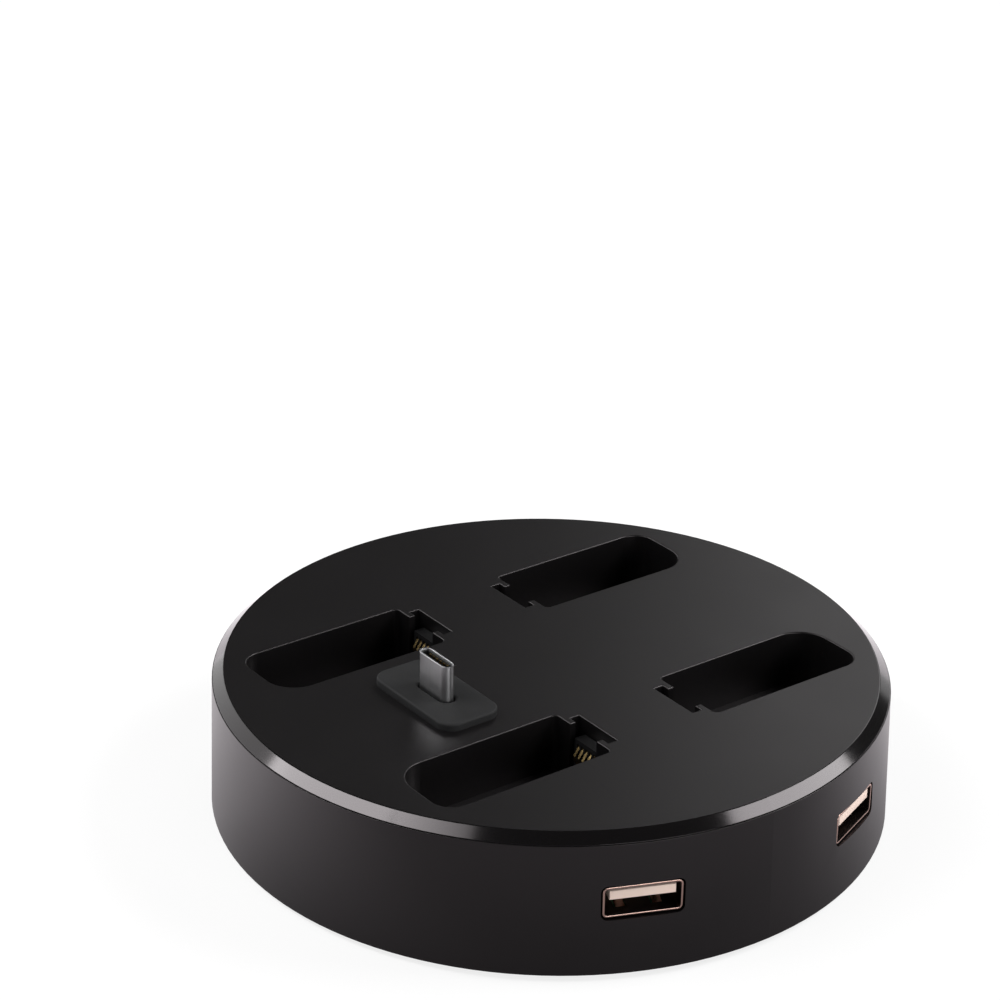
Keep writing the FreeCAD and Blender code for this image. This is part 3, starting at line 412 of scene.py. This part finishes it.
floor_level = port_axis - PORT_HEIGHT / 2 + PORT_METAL
spring_root = port_mouth - SPRING_START
for side in (1, -1):
    slot = start_block("slot", (spring_root - SPRING_LENGTH / 2, side * SPRING_SPREAD / 2, floor_level),
                       (SPRING_LENGTH, SPRING_WIDTH + 2 * SLOT_GAP, 4 * PORT_METAL))
    settle()
    cut_out(shell, slot)

springs = []
for side in (1, -1):
    root_middle = (spring_root + SPRING_ROOT / 2, side * SPRING_SPREAD / 2, floor_level - SPRING_SUNK)
    bpy.ops.object.select_all(action="DESELECT")
    bpy.ops.mesh.primitive_plane_add(size=1, location=root_middle)
    spring = bpy.context.object
    spring.data.materials.append(port_nickel)
    spring.scale = (SPRING_ROOT, SPRING_WIDTH, 1)
    settle()
    bpy.ops.object.mode_set(mode="EDIT")
    pick_edges(lambda a, b, fold: max(a.x, b.x) < spring_root + SPRING_ROOT / 2)
    for along, up in SPRING_BENDS:
        bpy.ops.mesh.extrude_region_move(
            TRANSFORM_OT_translate={"value": (-along * SPRING_LENGTH, 0, up * SPRING_RISE)})
    bpy.ops.object.mode_set(mode="OBJECT")
    thicken = spring.modifiers.new("thicken", "SOLIDIFY")
    thicken.thickness = SPRING_METAL
    bpy.ops.object.modifier_apply(modifier="thicken")
    springs.append(spring)

select_only(shell, *springs)
bpy.ops.object.join()
bpy.ops.object.shade_smooth_by_angle(angle=SMOOTH)
for end, fitted in fit_both_ports(shell, "folded_port_shell").items():
    stand_for(fitted, f"port_shell_{end}")


# Port tongues: a pale block in the back of each shell, with the flat tongue that carries the contacts.
# Moulded in one piece, with a rounded nose, and pushed into the shell from behind.
BLOCK_LENGTH = 4.2 * MM
BLOCK_PLAY = 0.03 * MM
TONGUE_LENGTH = 8.6 * MM
TONGUE_WIDTH = 11.1 * MM
TONGUE_THICKNESS = 1.7 * MM
TONGUE_RECESS = 0.2 * MM
TONGUE_GAP = 0.35 * MM
TONGUE_NOSE_ROUND = 0.15 * MM
tongue_white = moulded_plastic("tongue_white", (0.86, 0.68, 0.59),
                               roughness=0.4, grain=0.3 * MM, relief=0.006 * MM)

block_width = PORT_WIDTH - 2 * PORT_METAL - 2 * BLOCK_PLAY
block_height = PORT_HEIGHT - 2 * PORT_METAL - 2 * BLOCK_PLAY
tongue_root = port_mouth - TONGUE_RECESS - TONGUE_LENGTH
tongue_level = port_axis + PORT_HEIGHT / 2 - PORT_METAL - TONGUE_GAP - TONGUE_THICKNESS / 2
tongue = start_block("tongue", (tongue_root - BLOCK_LENGTH / 2, 0, port_axis),
                     (BLOCK_LENGTH, block_width, block_height))
tongue.data.materials.append(tongue_white)
bpy.ops.object.mode_set(mode="EDIT")
pick_edges(lambda a, b, fold: abs(a.x - b.x) > BLOCK_LENGTH / 2)
bpy.ops.mesh.bevel(offset=PORT_ROUND - PORT_METAL, segments=4)
bpy.ops.object.mode_set(mode="OBJECT")

blade = start_block("blade", (tongue_root + TONGUE_LENGTH / 2 - BLOCK_PLAY, 0, tongue_level),
                    (TONGUE_LENGTH + 2 * BLOCK_PLAY, TONGUE_WIDTH, TONGUE_THICKNESS))
blade.data.materials.append(tongue_white)
bpy.ops.object.mode_set(mode="EDIT")
pick_edges(lambda a, b, fold: min(a.x, b.x) > NEAR_END * TONGUE_LENGTH)
bpy.ops.mesh.bevel(offset=TONGUE_NOSE_ROUND, segments=3)
bpy.ops.object.mode_set(mode="OBJECT")

select_only(tongue, blade)
bpy.ops.object.join()
bpy.ops.object.shade_smooth_by_angle(angle=SMOOTH)
settle()
for end, fitted in fit_both_ports(tongue, "moulded_port_tongue").items():
    stand_for(fitted, f"port_tongue_{end}")


# Gold contacts: strips under each port's tongue, bowed leaves in the wells and two rows inside the plug.
# Stamped from phosphor bronze, gold flashed, and held by the plastic that carries them.
contact_gold = bright_metal("contact_gold", (0.86, 0.62, 0.27), roughness=0.22, streaks=(2500, 2500, 500))
for node in nodes:
    if "contacts" in node or "leaves" in node:
        dress(node, contact_gold)


# Power inlet: a drawn steel oval in the back of the wall, with a black tongue inside it.
# It sits flat on the main board, and its mouth is just inside the wall.
inlet_steel = bright_metal("inlet_steel", (0.4, 0.4, 0.41), roughness=0.28, streaks=(2500, 2500, 400))
plug_black = moulded_plastic("plug_black", (0.007, 0.007, 0.0075),
                             roughness=0.45, grain=0.2 * MM, relief=0.01 * MM)
dress("inlet_shell", inlet_steel)
dress("inlet_tongue", plug_black)


# Top cover: satin black on its flat top, polished on its bevel, and moulded in one piece with the wells.
# Its spigot sits inside the side wall, and its bosses take the base screws.
BEVEL_RADIUS = 57.42 * MM
BEVEL_BLEND = 0.1 * MM
BEVEL_ROUGHNESS = 0.12
cover_black = moulded_plastic("cover_black", BODY_BLACK,
                              roughness=0.36, grain=0.4 * MM, relief=0.01 * MM, gleam=WARM_GLEAM)
tree = cover_black.node_tree
shader = tree.nodes["Principled BSDF"]
place = tree.nodes.new("ShaderNodeTexCoord").outputs["Object"]
flat = add_node(tree, "ShaderNodeVectorMath", {0: place, 1: (1, 1, 0)}, "MULTIPLY").outputs["Vector"]
radius = add_node(tree, "ShaderNodeVectorMath", {0: flat}, "LENGTH").outputs["Value"]
on_bevel = ranged(tree, radius, first=0, last=1, start=BEVEL_RADIUS - BEVEL_BLEND, end=BEVEL_RADIUS)
satin = shader.inputs["Roughness"].links[0].from_socket
grain = shader.inputs["Normal"].links[0].from_node
polish = add_node(tree, "ShaderNodeMix", {"Factor": on_bevel, "A": satin, "B": BEVEL_ROUGHNESS})
wire(shader, {"Roughness": polish.outputs["Result"]})
wire(grain, {"Strength": ranged(tree, on_bevel, first=GRAIN_STRENGTH, last=0)})
dress("top_cover", cover_black)


# Contact blocks: a black block at the rail end of each well, with a groove for each leaf.
# Moulded in heat-proof plastic and seated on the main board.
block_black = moulded_plastic("block_black", (0.006, 0.006, 0.0065),
                              roughness=0.5, grain=0.2 * MM, relief=0.01 * MM)
for corner in ("front_right", "front_left", "rear_right", "rear_left"):
    dress(f"contact_block_{corner}", block_black)


# Plug carrier: a black flange and neck under the top that hold the plug upright.
# Moulded, and screwed to two short bosses of the cover.
carrier_black = moulded_plastic("carrier_black", (0.007, 0.007, 0.0075),
                                roughness=0.45, grain=0.3 * MM, relief=0.015 * MM)
dress("plug_carrier", carrier_black)


# Upright plug: an oval tube of satin steel with a rounded nose, around a black core.
# Drawn from sheet and pressed into the carrier, with the core pushed in from below.
PLUG_WIDTH = 8.25 * MM
PLUG_METAL = 0.25 * MM
PLUG_NOSE_ROUND = 0.1 * MM
# The share of a block's thickness that rounds its ends fully, short of the point where two rounds meet
FULL_ROUND = 0.499
plug_steel = bright_metal("plug_steel", (0.56, 0.56, 0.57), roughness=0.32, streaks=(1500, 1500, 300))
plug_low, plug_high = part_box("plug_shell")
plug_size = Vector((PLUG_WIDTH, plug_high.y - plug_low.y, plug_high.z - plug_low.z))
tube = start_block("drawn_plug_shell", middle_of("plug_shell"), plug_size)
tube.data.materials.append(plug_steel)
bpy.ops.object.mode_set(mode="EDIT")
pick_edges(lambda a, b, fold: abs(a.z - b.z) > plug_size.z / 2)
bpy.ops.mesh.bevel(offset=FULL_ROUND * plug_size.y, segments=12)
pick_faces(lambda middle, normal: abs(normal.z) > STRAIGHT)
bpy.ops.mesh.inset(thickness=PLUG_METAL)
bpy.ops.mesh.bridge_edge_loops()
pick_edges(lambda a, b, fold: min(a.z, b.z) > NEAR_END * plug_size.z and fold > SHARP)
bpy.ops.mesh.bevel(offset=PLUG_NOSE_ROUND, segments=3)
bpy.ops.object.mode_set(mode="OBJECT")
bpy.ops.object.shade_smooth_by_angle(angle=SMOOTH)
settle()
stand_for(tube, "plug_shell")
dress("plug_core", plug_black)


# Soft pad: a flat black pad with a rounded edge, around the foot of the plug.
# Pressed from silicone rubber, with a slot for the plug, and glued to the flat top.
PAD_CORNER = 3 * MM
PAD_EDGE = 0.45 * MM
SLOT_PLAY = 0.4 * MM
pad_rubber = pressed_rubber("pad_rubber", (0.009, 0.009, 0.0095), grain=0.3 * MM)
pad_low, pad_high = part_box("console_pad")
pad_size = pad_high - pad_low
slot_width = plug_size.x + 2 * SLOT_PLAY
slot_depth = plug_size.y + 2 * SLOT_PLAY
soft_pad = start_block("pressed_console_pad", middle_of("console_pad"), pad_size)
soft_pad.data.materials.append(pad_rubber)
bpy.ops.object.mode_set(mode="EDIT")
pick_edges(lambda a, b, fold: abs(a.z - b.z) > pad_size.z / 2)
bpy.ops.mesh.bevel(offset=PAD_CORNER, segments=10)
bpy.ops.object.mode_set(mode="OBJECT")

slot = start_block("slot", middle_of("console_pad"), (slot_width, slot_depth, 2 * pad_size.z))
bpy.ops.object.mode_set(mode="EDIT")
pick_edges(lambda a, b, fold: abs(a.z - b.z) > pad_size.z)
bpy.ops.mesh.bevel(offset=FULL_ROUND * slot_depth, segments=12)
bpy.ops.object.mode_set(mode="OBJECT")
cut_out(soft_pad, slot)

bpy.ops.object.mode_set(mode="EDIT")
pick_edges(lambda a, b, fold: min(a.z, b.z) > NEAR_END * pad_size.z and fold > SHARP)
bpy.ops.mesh.bevel(offset=PAD_EDGE, segments=5)
bpy.ops.object.mode_set(mode="OBJECT")
bpy.ops.object.shade_smooth_by_angle(angle=SMOOTH)
settle()
stand_for(soft_pad, "console_pad")


# Floor: a wide sheet of white paper that takes the dock's soft shadow.
# In the dock's gloss it carries painted shade: bright on the left, greyer towards the right, and dim
# beside the wall as a painted shadow.
FLOOR_SIDE = 6
PAPER_WHITE = (0.8, 0.8, 0.8, 1)
WHITE_GLOW = 1.15
WHITE_SHARE = 0.7
GLOSS_TINT = (1, 0.945, 0.98, 1)
GREY_ANGLE = radians(-22)
GREY_START = -4 * MM
GREY_END = 70 * MM
LEFT_GLOSS = 1.15
RIGHT_GLOSS = 0.33
NEAR_WALL = 60 * MM
CLEAR_OF_WALL = 100 * MM
NEAR_SHARE = 0.58
CLEAR_SHARE = 1.52
floor_white, tree, paper, place = new_finish("floor_white")
rays = tree.nodes.new("ShaderNodeLightPath").outputs
wire(paper, {"Base Color": PAPER_WHITE, "Roughness": 0.9})
white = add_node(tree, "ShaderNodeEmission", {"Strength": WHITE_GLOW}).outputs["Emission"]
share = add_node(tree, "ShaderNodeMath", {0: rays["Is Camera Ray"], 1: WHITE_SHARE}, "MULTIPLY")
seen = add_node(tree, "ShaderNodeMixShader", {
    "Fac": share.outputs["Value"], 1: paper.outputs["BSDF"], 2: white})

# The glossy-ray emission below is painted shade: it greys towards the right, and is multiplied by a
# painted shadow beside the wall.
grey_way = (cos(GREY_ANGLE), sin(GREY_ANGLE), 0)
across = add_node(tree, "ShaderNodeVectorMath", {0: place, 1: grey_way}, "DOT_PRODUCT").outputs["Value"]
reach = add_node(tree, "ShaderNodeVectorMath", {0: place}, "LENGTH").outputs["Value"]
painted_side_shade = ranged(tree, across, first=LEFT_GLOSS, last=RIGHT_GLOSS, start=GREY_START, end=GREY_END)
# Painted shadow: the floor's gloss is dimmer close to the wall and brighter clear of it.
clear = ranged(tree, reach, first=NEAR_SHARE, last=CLEAR_SHARE, start=NEAR_WALL, end=CLEAR_OF_WALL)
painted_gloss_shade = add_node(tree, "ShaderNodeMath", {0: painted_side_shade, 1: clear}, "MULTIPLY").outputs["Value"]
mirrored = add_node(tree, "ShaderNodeEmission", {"Color": GLOSS_TINT, "Strength": painted_gloss_shade})
whole = add_node(tree, "ShaderNodeMixShader", {
    "Fac": rays["Is Glossy Ray"], 1: seen.outputs["Shader"], 2: mirrored.outputs["Emission"]})
wire(tree.nodes["Material Output"], {"Surface": whole.outputs["Shader"]})

bpy.ops.object.select_all(action="DESELECT")
bpy.ops.mesh.primitive_plane_add(size=FLOOR_SIDE)
floor = bpy.context.object
floor.name = "floor"
floor.data.materials.append(floor_white)


# Soft boxes and cards: rectangular lamps around the dock, each turned to face it.
# The boxes light the top and the bevel, and the dimmer cards give the soft gradients on the wall.
def soft_box(name, azimuth, elevation, distance, width, height, radiance, roll=0, far_end=1):
    """A rectangular light that faces the dock; far_end is the share of light at the end of its width."""
    light = bpy.data.lights.new(name, "AREA")
    light.shape = "RECTANGLE"
    light.size = width
    light.size_y = height
    light.energy = radiance * pi * width * height
    light.use_nodes = True
    tree = light.node_tree
    panel = tree.nodes.new("ShaderNodeNewGeometry").outputs["Parametric"]
    along = add_node(tree, "ShaderNodeSeparateXYZ", {"Vector": panel}).outputs["X"]
    wire(tree.nodes["Emission"], {"Strength": ranged(tree, along, first=1, last=far_end)})

    lamp = bpy.data.objects.new(name, light)
    turn, tilt = radians(azimuth), radians(elevation)
    way = Vector((cos(tilt) * cos(turn), cos(tilt) * sin(turn), sin(tilt)))
    facing = way.to_track_quat("Z", "Y") @ Quaternion((0, 0, 1), radians(roll))
    lamp.location = way * distance
    lamp.rotation_euler = facing.to_euler()
    bpy.context.scene.collection.objects.link(lamp)


soft_box("key_box", azimuth=-129.7, elevation=45.4, distance=1.12, width=0.72, height=0.26,
         radiance=10, roll=39.6)
soft_box("key_edge", azimuth=-91.2, elevation=59.6, distance=1.15, width=0.36, height=0.26,
         radiance=9, roll=27.6, far_end=0.3)
soft_box("rear_box", azimuth=62, elevation=40.5, distance=1.1, width=0.6, height=0.5, radiance=9)
soft_box("left_card", azimuth=-164, elevation=19, distance=1.3, width=1.3, height=0.9, radiance=1.5)
soft_box("front_card", azimuth=-4, elevation=13, distance=1.3, width=0.8, height=0.5, radiance=4.5)
soft_box("back_card", azimuth=122, elevation=28, distance=1.3, width=0.6, height=0.4, radiance=1.7)
soft_box("sweep_card", azimuth=100, elevation=3.3, distance=1.5, width=0.9, height=0.17, radiance=0.8)


# Backdrop: white behind the dock, as the camera sees it.
# It lights the dock only faintly, so that the soft boxes shape it.
WHITE = (1, 1, 1, 1)
FILL_STRENGTH = 0.06
world = bpy.data.worlds.new("studio")
world.use_nodes = True
tree = world.node_tree
dim = tree.nodes["Background"]
wire(dim, {"Color": WHITE, "Strength": FILL_STRENGTH})
bright = add_node(tree, "ShaderNodeBackground", {"Color": WHITE})
rays = tree.nodes.new("ShaderNodeLightPath").outputs
backdrop = add_node(tree, "ShaderNodeMixShader", {
    "Fac": rays["Is Camera Ray"], 1: dim.outputs["Background"], 2: bright.outputs["Background"]})
wire(tree.nodes["World Output"], {"Surface": backdrop.outputs["Shader"]})
bpy.context.scene.world = world


# Camera: a long lens from the front right, looking down on the dock.
# Its place and turn are fitted to the photograph's view.
camera_data = bpy.data.cameras.new("camera")
camera_data.sensor_width = 36
camera_data.lens = 105.955
camera = bpy.data.objects.new("camera", camera_data)
camera.location = (360.53 * MM, -280.69 * MM, 271.42 * MM)
camera.rotation_euler = (radians(64.897), radians(-0.829), radians(53.672))
bpy.context.scene.collection.objects.link(camera)
bpy.context.scene.camera = camera
bpy.context.scene.view_settings.view_transform = "Standard"
